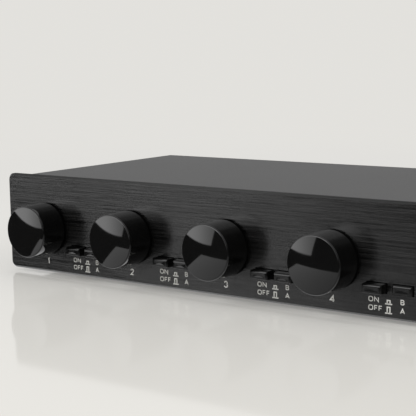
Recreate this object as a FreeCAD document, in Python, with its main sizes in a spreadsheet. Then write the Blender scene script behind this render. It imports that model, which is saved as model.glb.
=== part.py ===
import FreeCAD, Part
import os
import re

import Sketcher

# A desktop switch box that shares amplifiers among four pairs of speakers.
# Millimetres. X runs to the right, Y to the back, Z up. The feet stand on Z = 0, and X = 0 and Y = 0 are the
# middle of the whole box, from the faces of the knobs to the backs of the plugs.

Vector = FreeCAD.Vector
Rotation = FreeCAD.Rotation
Placement = FreeCAD.Placement

CHANNELS = 4
INPUTS = ("a", "b")
WAYS = 4

# Driving dimensions
SIZES = {
    # how far a cutter stands out of what it cuts
    "overshoot": 1.0,
    # front panel, and how far it stands out past the case to the sides, above and below
    "panel_thickness": 3.0,
    "panel_corner": 4.0,
    "panel_bevel": 1.1,
    "panel_overhang": 9.0,
    "panel_rise": 1.0,
    "panel_drop": 4.0,
    # folded sheet case
    "case_depth": 145.0,
    "case_height": 53.0,
    "cover_thickness": 1.0,
    "cover_bend": 1.8,
    "chassis_sheet": 1.2,
    "sheet_gap": 0.1,
    "wall_gap": 0.4,
    "lip_height": 14.0,
    # feet
    "foot_height": 6.0,
    "foot_radius": 8.5,
    "foot_taper": 1.0,
    "foot_inset": 28.0,
    # heights above the panel's lower edge
    "knob_level": 26.6,
    "button_level": 15.2,
    # spaces along the row of channels, from the case's left side to the panel's right end
    "end_gap": 5.0,
    "control_gap": 1.9,
    "button_gap": 3.4,
    "channel_gap": 3.3,
    "plain_end": 78.7,
    # knob
    "knob_radius": 15.0,
    "knob_draft": 0.3,
    "knob_reach": 19.8,
    "knob_gap": 0.5,
    "knob_dome": 1.0,
    "knob_edge": 0.9,
    "recess_radius": 12.5,
    "recess_floor": 14.0,
    "hub_radius": 5.2,
    "hub_start": 6.5,
    # shaft, its bush and what clamps it
    "shaft_radius": 3.0,
    "shaft_flat": 1.5,
    "shaft_reach": 15.0,
    "shaft_recess": 2.0,
    "shaft_clearance": 0.05,
    "bush_radius": 4.5,
    "bush_reach": 5.0,
    "hole_clearance": 0.15,
    "washer_radius": 8.0,
    "washer_thickness": 0.8,
    "nut_radius": 6.9,
    "nut_thickness": 2.5,
    "control_depth": 20.0,
    "switch_radius": 16.0,
    "switch_deck": 9.0,
    "deck_radius": 13.5,
    # buttons
    "button_width": 10.8,
    "button_height": 4.8,
    "button_length": 12.0,
    "button_reach": 6.0,
    "button_travel": 4.2,
    "button_edge": 0.45,
    "window_clearance": 0.35,
    "stem_width": 4.0,
    "stem_height": 2.6,
    "stem_length": 12.0,
    "stem_clearance": 0.15,
    "block_margin": 1.4,
    "block_height": 9.0,
    "block_gap": 0.4,
    "block_floor": 0.6,
    # boards and ribbon
    "board_thickness": 1.6,
    "board_bottom": 2.0,
    "board_headroom": 4.4,
    "board_end_gap": 2.3,
    "rear_board_margin": 10.0,
    "ribbon_width": 30.0,
    "ribbon_thickness": 1.0,
    "ribbon_drop": 4.0,
    # autoformers
    "core_width": 40.0,
    "core_depth": 20.0,
    "core_height": 33.0,
    "coil_width": 26.0,
    "coil_depth": 34.0,
    "coil_height": 22.0,
    "flange_width": 54.0,
    "flange_thickness": 1.5,
    # sockets and plugs in the rear wall
    "socket_pitch": 40.0,
    "socket_level": 24.0,
    "socket_width": 25.0,
    "socket_height": 12.5,
    "socket_depth": 12.0,
    "socket_wall": 1.0,
    "socket_floor": 2.0,
    "socket_gap": 0.15,
    "plug_reach": 8.0,
    "way_pitch": 5.08,
    "wire_radius": 1.5,
    "wire_depth": 5.0,
    "wire_drop": 2.0,
    "clamp_radius": 1.7,
    "clamp_height": 3.0,
    "clamp_sink": 0.4,
    "spacer_radius": 3.0,
    "spacer_inset": 1.0,
    # screws
    "screw_radius": 1.5,
    "head_radius": 2.8,
    "head_height": 1.9,
    "screw_clearance": 0.1,
    "cross_width": 0.7,
    "cross_depth": 1.0,
    "cross_span": 3.6,
    "screw_tail": 3.0,
}

# Places worked out from the sizes
PLACES = {
    "front_face": "(knob_reach - panel_thickness - case_depth - plug_reach) / 2",
    "panel_back": "front_face + panel_thickness",
    "wall_back": "panel_back + chassis_sheet",
    "board_front": "wall_back + control_depth",
    "board_back": "board_front + board_thickness",
    "case_back": "panel_back + case_depth",
    "rear_wall": "case_back - chassis_sheet",
    "rear_board_back": "case_back - socket_depth",
    "rear_board_front": "rear_board_back - board_thickness",
    "button_pitch": "button_width + button_gap",
    "button_offset": "switch_radius + control_gap + block_margin + button_width / 2",
    "channel_pitch": "button_offset + button_pitch + button_width / 2 + block_margin + channel_gap + switch_radius",
    "first_channel": "panel_overhang + cover_thickness + sheet_gap + chassis_sheet + end_gap + switch_radius",
    "panel_width": f"first_channel + {CHANNELS - 1} * channel_pitch + plain_end",
    "panel_height": "panel_drop + case_height + panel_rise",
    "case_width": "panel_width - 2 * panel_overhang",
    "panel_bottom": "foot_height - panel_drop",
    "panel_left": "-panel_width / 2",
    "floor_top": "foot_height + chassis_sheet",
    "cover_top": "foot_height + case_height",
    "wall_top": "cover_top - cover_thickness - wall_gap",
    "chassis_half": "case_width / 2 - cover_thickness - sheet_gap",
    "knob_axis": "panel_bottom + knob_level",
    "button_axis": "panel_bottom + button_level",
    "hole_radius": "bush_radius + hole_clearance",
    "window_width": "button_width + 2 * window_clearance",
    "window_height": "button_height + 2 * window_clearance",
    "block_front": "wall_back + block_gap",
    "well_floor": "front_face - button_reach + button_length + button_travel + block_gap",
    "screw_hole": "screw_radius + screw_clearance",
    "lip_level": "lip_height / 2",
    "foot_side": "case_width / 2 - foot_inset",
    "foot_front": "panel_back + foot_inset",
    "foot_rear": "case_back - foot_inset",
    "core_middle": "(board_back + rear_board_front) / 2",
    "flange_hole": "(flange_width + core_width) / 4",
    "socket_axis": "floor_top + socket_level",
    "rear_board_half": "2.5 * socket_pitch + socket_width / 2 + rear_board_margin",
    "clamp_row": "case_back + plug_reach / 2",
    "plug_width": "socket_width - 2 * socket_wall - 2 * socket_gap",
    "plug_height": "socket_height - 2 * socket_wall - 2 * socket_gap",
    "first_axis": "panel_left + first_channel",
    "board_low": "floor_top + board_bottom",
    "board_high": "wall_top - board_headroom",
    "spacer_low": "board_low + spacer_radius + spacer_inset",
    "spacer_high": "board_high - spacer_radius - spacer_inset",
}

doc = FreeCAD.newDocument("speaker_selector")
sizes = doc.addObject("Spreadsheet::Sheet", "sizes")
places = doc.addObject("Spreadsheet::Sheet", "places")


def formula(text):
    """Puts the sheet's name before each size and place that a formula names."""

    def with_sheet(match):
        word = match.group()
        if word in SIZES:
            return "sizes." + word
        return "places." + word if word in PLACES else word

    return re.sub(r"[a-z][a-z_]+", with_sheet, text)


def fill(sheet, rows):
    """Writes one row for each name, with the name beside its cell and as its alias."""
    for row, (name, content) in enumerate(rows.items(), start=1):
        sheet.set(f"A{row}", name)
        sheet.set(f"B{row}", content)
        sheet.setAlias(f"B{row}", name)


def number(text):
    """The present value of a formula."""
    return float(sizes.evalExpression(formula(text)))


def bind(thing, **formulas):
    """Ties properties to formulas. A double underscore in a name stands for a dot."""
    for name, text in formulas.items():
        thing.setExpression(name.replace("__", "."), formula(text))
    return thing


def put(thing, x="0", y="0", z="0", turn=None):
    """Places an object at three formulas, turned first where a rotation is given."""
    if turn is not None:
        thing.Placement = Placement(Vector(0, 0, 0), turn)
    return bind(thing, Placement__Base__x=x, Placement__Base__y=y, Placement__Base__z=z)


# Turns that carry the local Z axis to a direction of the box
TO_FRONT = Rotation(Vector(1, 0, 0), 90)
TO_BACK = Rotation(Vector(1, 0, 0), -90)
TO_LEFT = Rotation(Vector(0, 1, 0), -90)
TO_RIGHT = Rotation(Vector(0, 1, 0), 90)
DOWNWARDS = Rotation(Vector(1, 0, 0), 180)
UPWARDS = Rotation()


# Part primitives

def block(name, x, y, z):
    """A box between a low and a high formula along each axis."""
    solid = doc.addObject("Part::Box", name)
    bind(solid, Length=f"({x[1]}) - ({x[0]})", Width=f"({y[1]}) - ({y[0]})", Height=f"({z[1]}) - ({z[0]})")
    return put(solid, x[0], y[0], z[0])


def around(middle, size):
    """The low and high formula of a stretch of one size about its middle."""
    return (f"{middle} - ({size}) / 2", f"{middle} + ({size}) / 2")


def rod(name, radius, length, x="0", y="0", z="0", turn=UPWARDS):
    """A cylinder that starts at a point and runs along the turned Z axis."""
    solid = doc.addObject("Part::Cylinder", name)
    bind(solid, Radius=radius, Height=length)
    return put(solid, x, y, z, turn)


def joined(name, pieces):
    """The union of several solids."""
    union = doc.addObject("Part::MultiFuse", name)
    union.Shapes = pieces
    union.Refine = True
    return union


def cut(name, base, tools):
    """A solid less one or more others."""
    tool = tools[0] if len(tools) == 1 else joined(name + "_cutters", tools)
    rest = doc.addObject("Part::Cut", name)
    rest.Base = base
    rest.Tool = tool
    rest.Refine = True
    return rest


def group(name, pieces):
    """Several like solids that share one node."""
    compound = doc.addObject("Part::Compound", name)
    compound.Links = pieces
    return compound


# Sketches

def new_body(name):
    return doc.addObject("PartDesign::Body", name)


def sketch_on(body, name, role="XY_Plane"):
    """A sketch on one of the body's own origin planes."""
    sketch = body.newObject("Sketcher::SketchObject", name)
    plane = next(item for item in body.Origin.OriginFeatures if item.Role == role)
    sketch.AttachmentSupport = (plane, [""])
    sketch.MapMode = "FlatFace"
    return sketch


def measure(sketch, kind, first, second, text):
    """Adds a dimension between two points of a sketch and ties it to a formula."""
    index = sketch.addConstraint(Sketcher.Constraint(kind, *first, *second, number(text)))
    sketch.setExpression(f"Constraints[{index}]", formula(text))


def pin_point(sketch, point, x, y):
    """Ties a point of a sketch to two formulas. A zero puts it on the axis itself."""
    origin, x_axis, y_axis = (-1, 1), -1, -2
    if x == "0" and y == "0":
        sketch.addConstraint(Sketcher.Constraint("Coincident", *point, *origin))
        return
    if x == "0":
        sketch.addConstraint(Sketcher.Constraint("PointOnObject", *point, y_axis))
    else:
        measure(sketch, "DistanceX", origin, point, x)
    if y == "0":
        sketch.addConstraint(Sketcher.Constraint("PointOnObject", *point, x_axis))
    else:
        measure(sketch, "DistanceY", origin, point, y)


def polygon(sketch, points, bulge=None):
    """A closed outline through points given as formulas. The side numbered bulge is an arc about Y."""
    first = sketch.GeometryCount
    spots = [Vector(number(x), number(y), 0) for x, y in points]
    count = len(spots)
    for side in range(count):
        start, end = spots[side], spots[(side + 1) % count]
        if side == bulge:
            rise = end.y - start.y
            radius = (start.x ** 2 + rise ** 2) / (2 * rise)
            middle = Vector(start.x / 2, end.y - radius + (radius ** 2 - start.x ** 2 / 4) ** 0.5, 0)
            sketch.addGeometry(Part.Arc(start, middle, end), False)
        else:
            sketch.addGeometry(Part.LineSegment(start, end), False)
    for side, (x, y) in enumerate(points):
        before = first + (side - 1) % count
        sketch.addConstraint(Sketcher.Constraint("Coincident", before, 2, first + side, 1))
        pin_point(sketch, (first + side, 1), x, y)
    if bulge is not None:
        sketch.addConstraint(Sketcher.Constraint("PointOnObject", first + bulge, 3, -2))


def rectangle(sketch, x, y):
    """A rectangle between a low and a high formula along each axis of the sketch."""
    polygon(sketch, [(x[0], y[0]), (x[1], y[0]), (x[1], y[1]), (x[0], y[1])])


def middle_rectangle(sketch, width, height):
    """A rectangle about the origin of the sketch."""
    half_x, half_y = number(width) / 2, number(height) / 2
    corners = [Vector(-half_x, -half_y, 0), Vector(half_x, -half_y, 0),
               Vector(half_x, half_y, 0), Vector(-half_x, half_y, 0)]
    for side in range(4):
        sketch.addGeometry(Part.LineSegment(corners[side], corners[(side + 1) % 4]), False)
    for side in range(4):
        sketch.addConstraint(Sketcher.Constraint("Coincident", side, 2, (side + 1) % 4, 1))
    for side, kind in enumerate(("Horizontal", "Vertical", "Horizontal", "Vertical")):
        sketch.addConstraint(Sketcher.Constraint(kind, side))
    sketch.addConstraint(Sketcher.Constraint("Symmetric", 0, 1, 1, 2, -1, 1))
    measure(sketch, "DistanceX", (0, 1), (0, 2), width)
    measure(sketch, "DistanceY", (1, 1), (1, 2), height)


def circle(sketch, radius, x="0", y="0"):
    """A circle about a point given as formulas."""
    ring = Part.Circle(Vector(number(x), number(y), 0), Vector(0, 0, 1), number(radius))
    index = sketch.addGeometry(ring, False)
    size = sketch.addConstraint(Sketcher.Constraint("Radius", index, number(radius)))
    sketch.setExpression(f"Constraints[{size}]", formula(radius))
    pin_point(sketch, (index, 3), x, y)


def d_outline(sketch, radius, flat):
    """A circle with a flat chord across its top, as on a shaft that a knob is pushed onto."""
    rim, level = number(radius), number(radius) - number(flat)
    half = (rim ** 2 - level ** 2) ** 0.5
    left, right = Vector(-half, level, 0), Vector(half, level, 0)
    sketch.addGeometry(Part.Arc(left, Vector(0, -rim, 0), right), False)
    sketch.addGeometry(Part.LineSegment(right, left), False)
    sketch.addConstraint(Sketcher.Constraint("Coincident", 0, 2, 1, 1))
    sketch.addConstraint(Sketcher.Constraint("Coincident", 1, 2, 0, 1))
    sketch.addConstraint(Sketcher.Constraint("Coincident", 0, 3, -1, 1))
    sketch.addConstraint(Sketcher.Constraint("Horizontal", 1))
    ring = sketch.addConstraint(Sketcher.Constraint("Radius", 0, rim))
    sketch.setExpression(f"Constraints[{ring}]", formula(radius))
    measure(sketch, "DistanceY", (-1, 1), (1, 1), f"({radius}) - ({flat})")


# Features of a body

def pad(body, sketch, length, name, backwards=False):
    feature = body.newObject("PartDesign::Pad", name)
    feature.Profile = sketch
    feature.Reversed = backwards
    return bind(feature, Length=length)


def pocket(body, sketch, name, depth=None, forwards=True):
    """A pocket that cuts the way the sketch faces, or the other way; all through without a depth."""
    feature = body.newObject("PartDesign::Pocket", name)
    feature.Profile = sketch
    feature.Reversed = forwards
    if depth is None:
        feature.Type = "ThroughAll"
        return feature
    return bind(feature, Length=depth)


def revolved(body, sketch, name):
    feature = body.newObject("PartDesign::Revolution", name)
    feature.Profile = sketch
    feature.ReferenceAxis = (sketch, ["V_Axis"])
    feature.Angle = 360
    return feature


def edges_where(feature, test):
    """The names of a feature's edges that pass a test."""
    doc.recompute()
    return [f"Edge{n}" for n, edge in enumerate(feature.Shape.Edges, start=1) if test(edge)]


def dressed(body, kind, base, edges, name, **formulas):
    """A fillet or a chamfer on some edges of a feature."""
    feature = body.newObject("PartDesign::" + kind, name)
    feature.Base = (base, edges)
    return bind(feature, **formulas)


def along_z(edge):
    """Whether an edge runs straight up."""
    return edge.BoundBox.ZLength > 0.9 * edge.Length


def at_height(edge, text):
    """Whether an edge lies at one height, given as a formula."""
    box, height = edge.BoundBox, number(text)
    return abs(box.ZMin - height) < 1e-4 and abs(box.ZMax - height) < 1e-4


def axis_of(channel):
    """The formula of a channel's knob axis along X."""
    return f"first_axis + {channel} * channel_pitch"


def core_axis(channel):
    """The formula of the middle of a channel's transformer along X. The row is centred in the case."""
    return f"({channel} - {(CHANNELS - 1) / 2}) * channel_pitch"


# Case

def front_panel():
    """A thick plate with rounded corners and a bevelled outline, drilled for bushes and cut for buttons."""
    body = new_body("front_panel")
    outline = sketch_on(body, "panel_outline")
    rectangle(outline, ("0", "panel_width"), ("0", "panel_height"))
    plate = pad(body, outline, "panel_thickness", "panel_plate")
    corners = edges_where(plate, along_z)
    rounded = dressed(body, "Fillet", plate, corners, "panel_corners", Radius="panel_corner")
    front = edges_where(rounded, lambda edge: at_height(edge, "panel_thickness"))
    dressed(body, "Chamfer", rounded, front, "panel_bevels", Size="panel_bevel")
    channel = sketch_on(body, "channel_cuts")
    circle(channel, "hole_radius", "first_channel", "knob_level")
    for place in range(2):
        middle = f"first_channel + button_offset + {place} * button_pitch"
        rectangle(channel, around(middle, "window_width"), around("button_level", "window_height"))
    doc.recompute()
    holes = pocket(body, channel, "channel_holes")
    row = body.newObject("PartDesign::LinearPattern", "channel_row")
    row.Originals = [holes]
    row.Direction = (next(item for item in body.Origin.OriginFeatures if item.Role == "X_Axis"), [""])
    row.Occurrences = CHANNELS
    bind(row, Length=f"{CHANNELS - 1} * channel_pitch")
    body.Tip = row
    return put(body, "panel_left", "panel_back", "panel_bottom", TO_FRONT)


def top_cover():
    """A folded sheet, top and two sides, with screw holes in the sides."""
    body = new_body("top_cover")
    outline = sketch_on(body, "cover_outline")
    rectangle(outline, ("0", "case_width"), ("0", "case_height"))
    shell = pad(body, outline, "case_depth", "cover_block")
    bends = edges_where(shell, lambda edge: along_z(edge) and edge.BoundBox.YMin > number("case_height / 2"))
    dressed(body, "Fillet", shell, bends, "cover_bends", Radius="cover_bend")
    inside = sketch_on(body, "cover_inside")
    across = ("cover_thickness", "case_width - cover_thickness")
    rectangle(inside, across, ("0", "case_height - cover_thickness"))
    pocket(body, inside, "cover_hollow")
    holes = sketch_on(body, "cover_holes", "YZ_Plane")
    for inset in ("foot_inset", "case_depth - foot_inset"):
        circle(holes, "screw_hole", "lip_level", inset)
    pocket(body, holes, "cover_screw_holes")
    return put(body, "-case_width / 2", "case_back", "foot_height", TO_FRONT)


def chassis():
    """A folded tray: floor, front wall, rear wall and two low side lips, with every hole in it."""
    depth = ("panel_back", "case_back")
    width = ("-chassis_half", "chassis_half")
    low = ("foot_height", "floor_top")
    walls = ("foot_height", "wall_top")
    lips = ("foot_height", "foot_height + lip_height")
    through = "chassis_sheet + 2 * overshoot"
    through_front = ("panel_back - overshoot", "wall_back + overshoot")
    through_rear = ("rear_wall - overshoot", "case_back + overshoot")
    under_floor = "foot_height - overshoot"
    sheets = [
        block("floor_sheet", width, depth, low),
        block("front_wall", width, ("panel_back", "wall_back"), walls),
        block("rear_wall_sheet", width, ("rear_wall", "case_back"), walls),
        block("left_lip", ("-chassis_half", "-chassis_half + chassis_sheet"), depth, lips),
        block("right_lip", ("chassis_half - chassis_sheet", "chassis_half"), depth, lips),
    ]
    cutters = []
    for channel in range(CHANNELS):
        axis = axis_of(channel)
        cutters.append(rod(f"bush_hole_{channel + 1}", "hole_radius", through,
                           axis, "wall_back + overshoot", "knob_axis", TO_FRONT))
        for place in range(2):
            middle = f"{axis} + button_offset + {place} * button_pitch"
            cutters.append(block(f"window_{channel + 1}_{place + 1}", around(middle, "window_width"),
                                 through_front, around("button_axis", "window_height")))
        for side in (-1, 1):
            cutters.append(rod(f"core_hole_{channel + 1}", "screw_hole", through,
                               f"{core_axis(channel)} + {side} * flange_hole", "core_middle", under_floor))
    for name, x, z in socket_places():
        cutters.append(block(name + "_hole", around(x, "socket_width + 2 * socket_gap"), through_rear,
                             around(z, "socket_height + 2 * socket_gap")))
    for name, x, y in foot_places():
        cutters.append(rod(name + "_hole", "screw_hole", through, x, y, under_floor))
    for name, y in (("front", "foot_front"), ("rear", "foot_rear")):
        cutters.append(rod(name + "_lip_holes", "screw_hole", "2 * chassis_half + 2 * overshoot",
                           "-chassis_half - overshoot", y, "foot_height + lip_level", TO_RIGHT))
    for name, x, z in spacer_places():
        cutters.append(rod(name + "_hole", "screw_hole", through, x, through_rear[0], z, TO_BACK))
    return cut("chassis", joined("folded_sheet", sheets), cutters)


# Feet and screws

def foot_places():
    """The name and the place of each foot."""
    return [
        ("foot_front_left", "-foot_side", "foot_front"),
        ("foot_front_right", "foot_side", "foot_front"),
        ("foot_rear_left", "-foot_side", "foot_rear"),
        ("foot_rear_right", "foot_side", "foot_rear"),
    ]


def foot(name, x, y):
    """A tapered rubber foot with a screw hole and a sunk seat for the screw's head."""
    rubber = doc.addObject("Part::Cone", name + "_rubber")
    bind(rubber, Radius1="foot_radius - foot_taper", Radius2="foot_radius", Height="foot_height")
    bore = rod(name + "_bore", "screw_hole", "foot_height")
    seat = rod(name + "_seat", "head_radius + 2 * screw_clearance", "foot_height / 2")
    return put(cut(name, rubber, [joined(name + "_well", [bore, seat])]), x, y)


def screw(name, length, x, y, z, turn):
    """A pan-head screw with a cross recess. Its head sits on the point given, with its shank behind it."""
    head = rod(name + "_head", "head_radius", "head_height")
    shank = rod(name + "_shank", "screw_radius", length, turn=DOWNWARDS)
    depth = ("head_height - cross_depth", "head_height + overshoot")
    arms = [
        block(name + "_cross_x", around("0", "cross_span"), around("0", "cross_width"), depth),
        block(name + "_cross_y", around("0", "cross_width"), around("0", "cross_span"), depth),
    ]
    return put(cut(name, joined(name + "_blank", [head, shank]), arms), x, y, z, turn)


def foot_screws():
    """One screw up through each foot into the floor of the chassis."""
    length = "foot_height / 2 + chassis_sheet + screw_tail"
    seat = "foot_height / 2"
    screws = [screw(name + "_screw", length, x, y, seat, DOWNWARDS) for name, x, y in foot_places()]
    return group("foot_screws", screws)


def cover_screws():
    """Two screws in each side of the cover, into the lips of the chassis."""
    screws = []
    for side, x, turn in (("left", "-case_width / 2", TO_LEFT), ("right", "case_width / 2", TO_RIGHT)):
        for end in ("front", "rear"):
            screws.append(screw(f"{side}_{end}_screw", "cover_thickness + chassis_sheet + screw_tail",
                                x, f"foot_{end}", "foot_height + lip_level", turn))
    return group("cover_screws", screws)


# Volume controls

def knob(number_on_panel, axis):
    """A turned knob with a domed face, hollow behind, with a hub that is pushed onto the flat of the shaft."""
    body = new_body(f"knob_{number_on_panel}")
    profile = sketch_on(body, f"knob_profile_{number_on_panel}", "XZ_Plane")
    polygon(profile, [
        ("0", "hub_start"),
        ("hub_radius", "hub_start"),
        ("hub_radius", "recess_floor"),
        ("recess_radius", "recess_floor"),
        ("recess_radius", "knob_gap"),
        ("knob_radius + knob_draft", "knob_gap"),
        ("knob_radius", "knob_reach - knob_dome"),
        ("0", "knob_reach"),
    ], bulge=6)
    turned = revolved(body, profile, f"knob_turned_{number_on_panel}")
    rim = edges_where(turned, lambda edge: at_height(edge, "knob_reach - knob_dome"))
    dressed(body, "Fillet", turned, rim, f"knob_rim_{number_on_panel}", Radius="knob_edge")
    socket = sketch_on(body, f"knob_socket_{number_on_panel}")
    d_outline(socket, "shaft_radius", "shaft_flat")
    doc.recompute()
    pocket(body, socket, f"knob_bore_{number_on_panel}", depth="shaft_reach")
    return put(body, axis, "front_face", "knob_axis", TO_FRONT)


def control_shaft(number_on_panel, axis):
    """A steel shaft, round where it turns in the bush and flat on one side where it carries the knob."""
    body = new_body(f"control_shaft_{number_on_panel}")
    ring = sketch_on(body, f"shaft_round_{number_on_panel}")
    circle(ring, "shaft_radius")
    inner_length = "board_front - front_face - shaft_recess + bush_reach"
    pad(body, ring, inner_length, f"shaft_back_{number_on_panel}", backwards=True)
    half_round = sketch_on(body, f"shaft_half_round_{number_on_panel}")
    d_outline(half_round, "shaft_radius", "shaft_flat")
    pad(body, half_round, "shaft_reach - bush_reach", f"shaft_front_{number_on_panel}")
    return put(body, axis, "front_face - bush_reach", "knob_axis", TO_FRONT)


def volume_switch(number_on_panel, axis):
    """A stepped rotary switch: a round case with a narrower rear deck, and the threaded bush for its shaft."""
    body = new_body(f"volume_switch_{number_on_panel}")
    profile = sketch_on(body, f"switch_profile_{number_on_panel}", "XZ_Plane")
    bore = "shaft_radius + shaft_clearance"
    nose = "control_depth + chassis_sheet + panel_thickness + bush_reach"
    polygon(profile, [
        (bore, "0"),
        ("deck_radius", "0"),
        ("deck_radius", "switch_deck"),
        ("switch_radius", "switch_deck"),
        ("switch_radius", "control_depth"),
        ("bush_radius", "control_depth"),
        ("bush_radius", nose),
        (bore, nose),
    ])
    revolved(body, profile, f"switch_turned_{number_on_panel}")
    return put(body, axis, "board_front", "knob_axis", TO_FRONT)


def control_washers():
    """A flat washer on each bush, against the panel."""
    washers = []
    for channel in range(CHANNELS):
        disc = rod(f"washer_disc_{channel + 1}", "washer_radius", "washer_thickness")
        bore = rod(f"washer_bore_{channel + 1}", "bush_radius", "washer_thickness")
        ring = cut(f"washer_{channel + 1}", disc, [bore])
        washers.append(put(ring, axis_of(channel), "front_face", "knob_axis", TO_FRONT))
    return group("control_washers", washers)


def control_nuts():
    """A hexagon nut on each bush, which clamps the panel and the chassis wall together."""
    nuts = []
    for channel in range(CHANNELS):
        blank = doc.addObject("Part::Prism", f"nut_blank_{channel + 1}")
        blank.Polygon = 6
        bind(blank, Circumradius="nut_radius", Height="nut_thickness")
        bore = rod(f"nut_bore_{channel + 1}", "bush_radius", "nut_thickness")
        nut = cut(f"nut_{channel + 1}", blank, [bore])
        nuts.append(put(nut, axis_of(channel), "front_face - washer_thickness", "knob_axis", TO_FRONT))
    return group("control_nuts", nuts)


# Push buttons

def button(name, middle, pressed):
    """A cap with softened front edges on a stem that reaches into the switch block."""
    body = new_body(name)
    outline = sketch_on(body, name + "_outline")
    middle_rectangle(outline, "button_width", "button_height")
    cap = pad(body, outline, "button_length", name + "_cap")
    front = edges_where(cap, lambda edge: at_height(edge, "button_length"))
    dressed(body, "Fillet", cap, front, name + "_edges", Radius="button_edge")
    stem = sketch_on(body, name + "_stem")
    middle_rectangle(stem, "stem_width", "stem_height")
    pad(body, stem, "stem_length", name + "_push", backwards=True)
    y = "front_face - button_reach + button_length" + (" + button_travel" if pressed else "")
    return put(body, middle, y, "button_axis", TO_FRONT)


def switch_block(number_on_panel, axis):
    """Two latching push switches in one moulded block, with a well that guides each cap and a slot for its stem."""
    first = f"{axis} + button_offset"
    second = f"{first} + button_pitch"
    side = "button_width / 2 + block_margin"
    depth = ("block_front", "board_front")
    case = block(f"block_case_{number_on_panel}", (f"{first} - ({side})", f"{second} + {side}"), depth,
                 around("button_axis", "block_height"))
    well_depth = ("block_front - overshoot", "well_floor")
    well_height = around("button_axis", "window_height")
    slot_depth = ("well_floor - overshoot", "board_front - block_floor")
    slot_height = around("button_axis", "stem_height + 2 * stem_clearance")
    hollows = []
    for place, middle in ((1, first), (2, second)):
        label = f"{number_on_panel}_{place}"
        well_width = around(middle, "window_width")
        slot_width = around(middle, "stem_width + 2 * stem_clearance")
        hollows.append(block(f"block_well_{label}", well_width, well_depth, well_height))
        hollows.append(block(f"block_slot_{label}", slot_width, slot_depth, slot_height))
    return cut(f"switch_block_{number_on_panel}", case, hollows)


# Boards, transformers and wiring inside

def front_board():
    """The board behind the controls, which carries the push switches from side to side of the case."""
    width = around("0", "2 * (chassis_half - chassis_sheet - board_end_gap)")
    return block("front_board", width, ("board_front", "board_back"), ("board_low", "board_high"))


def rear_board():
    """The board that carries the sockets, with four holes for its screws."""
    plate = block("rear_board_plate", ("-rear_board_half", "rear_board_half"),
                  ("rear_board_front", "rear_board_back"), ("board_low", "board_high"))
    holes = [rod(name + "_board_hole", "screw_hole", "board_thickness + 2 * overshoot",
                 x, "rear_board_front - overshoot", z, TO_BACK)
             for name, x, z in spacer_places()]
    return cut("rear_board", plate, holes)


def spacer_places():
    """The name and the place of each spacer between the rear board and the rear wall."""
    left = "-rear_board_half + spacer_radius + spacer_inset"
    right = "rear_board_half - spacer_radius - spacer_inset"
    return [
        ("spacer_low_left", left, "spacer_low"),
        ("spacer_low_right", right, "spacer_low"),
        ("spacer_high_left", left, "spacer_high"),
        ("spacer_high_right", right, "spacer_high"),
    ]


def board_spacers():
    spacers = []
    for name, x, z in spacer_places():
        length = "rear_wall - rear_board_back"
        blank = rod(name + "_blank", "spacer_radius", length)
        tube = cut(name, blank, [rod(name + "_bore", "screw_hole", length)])
        spacers.append(put(tube, x, "rear_board_back", z, TO_BACK))
    return group("board_spacers", spacers)


def board_screws():
    """Screws from outside the rear wall, through the spacers and the board."""
    screws = [screw(name + "_screw", "socket_depth + board_thickness + screw_tail", x, "case_back", z, TO_BACK)
              for name, x, z in spacer_places()]
    return group("board_screws", screws)


def autoformer(number_on_panel, axis):
    """A laminated core on a flange, with its coil around the middle limb."""
    across, depth = around(axis, "flange_width"), around("core_middle", "core_depth")
    flange = ("floor_top", "floor_top + flange_thickness")
    core_top = "floor_top + flange_thickness + core_height"
    coil_middle = "floor_top + flange_thickness + core_height / 2"
    pieces = [
        block(f"core_flange_{number_on_panel}", across, depth, flange),
        block(f"core_stack_{number_on_panel}", around(axis, "core_width"), depth, ("floor_top", core_top)),
        block(f"core_coil_{number_on_panel}", around(axis, "coil_width"), around("core_middle", "coil_depth"),
              around(coil_middle, "coil_height")),
    ]
    holes = [rod(f"flange_hole_{number_on_panel}_{place}", "screw_hole", "flange_thickness + 2 * overshoot",
                 f"{axis} + {side} * flange_hole", "core_middle", "floor_top - overshoot")
             for place, side in ((1, -1), (2, 1))]
    return cut(f"autoformer_{number_on_panel}", joined(f"core_and_coil_{number_on_panel}", pieces), holes)


def autoformer_screws():
    """Two screws down through each flange into the floor of the chassis."""
    screws = []
    for channel in range(CHANNELS):
        for place, side in ((1, -1), (2, 1)):
            screws.append(screw(f"core_screw_{channel + 1}_{place}", "flange_thickness + chassis_sheet",
                                f"{core_axis(channel)} + {side} * flange_hole", "core_middle",
                                "floor_top + flange_thickness", UPWARDS))
    return group("autoformer_screws", screws)


def ribbon_cable():
    """The flat cable from board to board, above the transformers."""
    return block("ribbon_cable", around("0", "ribbon_width"), ("board_back", "rear_board_front"),
                 around("board_high - ribbon_drop", "ribbon_thickness"))


# Sockets and plugs

def socket_places():
    """The name and the place of each socket in the rear wall."""
    names = [f"speaker_output_{n + 1}" for n in range(CHANNELS)]
    names += [f"amplifier_input_{name}" for name in INPUTS]
    middle = (len(names) - 1) / 2
    return [(name, f"({n} - {middle}) * socket_pitch", "socket_axis") for n, name in enumerate(names)]


def socket(name, x, z):
    """A moulded shroud on the rear board, open to the back."""
    shell = block(name + "_shell", around(x, "socket_width"), ("rear_board_back", "case_back"),
                  around(z, "socket_height"))
    hollow = block(name + "_hollow", around(x, "socket_width - 2 * socket_wall"),
                   ("rear_board_back + socket_floor", "case_back + overshoot"),
                   around(z, "socket_height - 2 * socket_wall"))
    return cut(name + "_socket", shell, [hollow])


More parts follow.
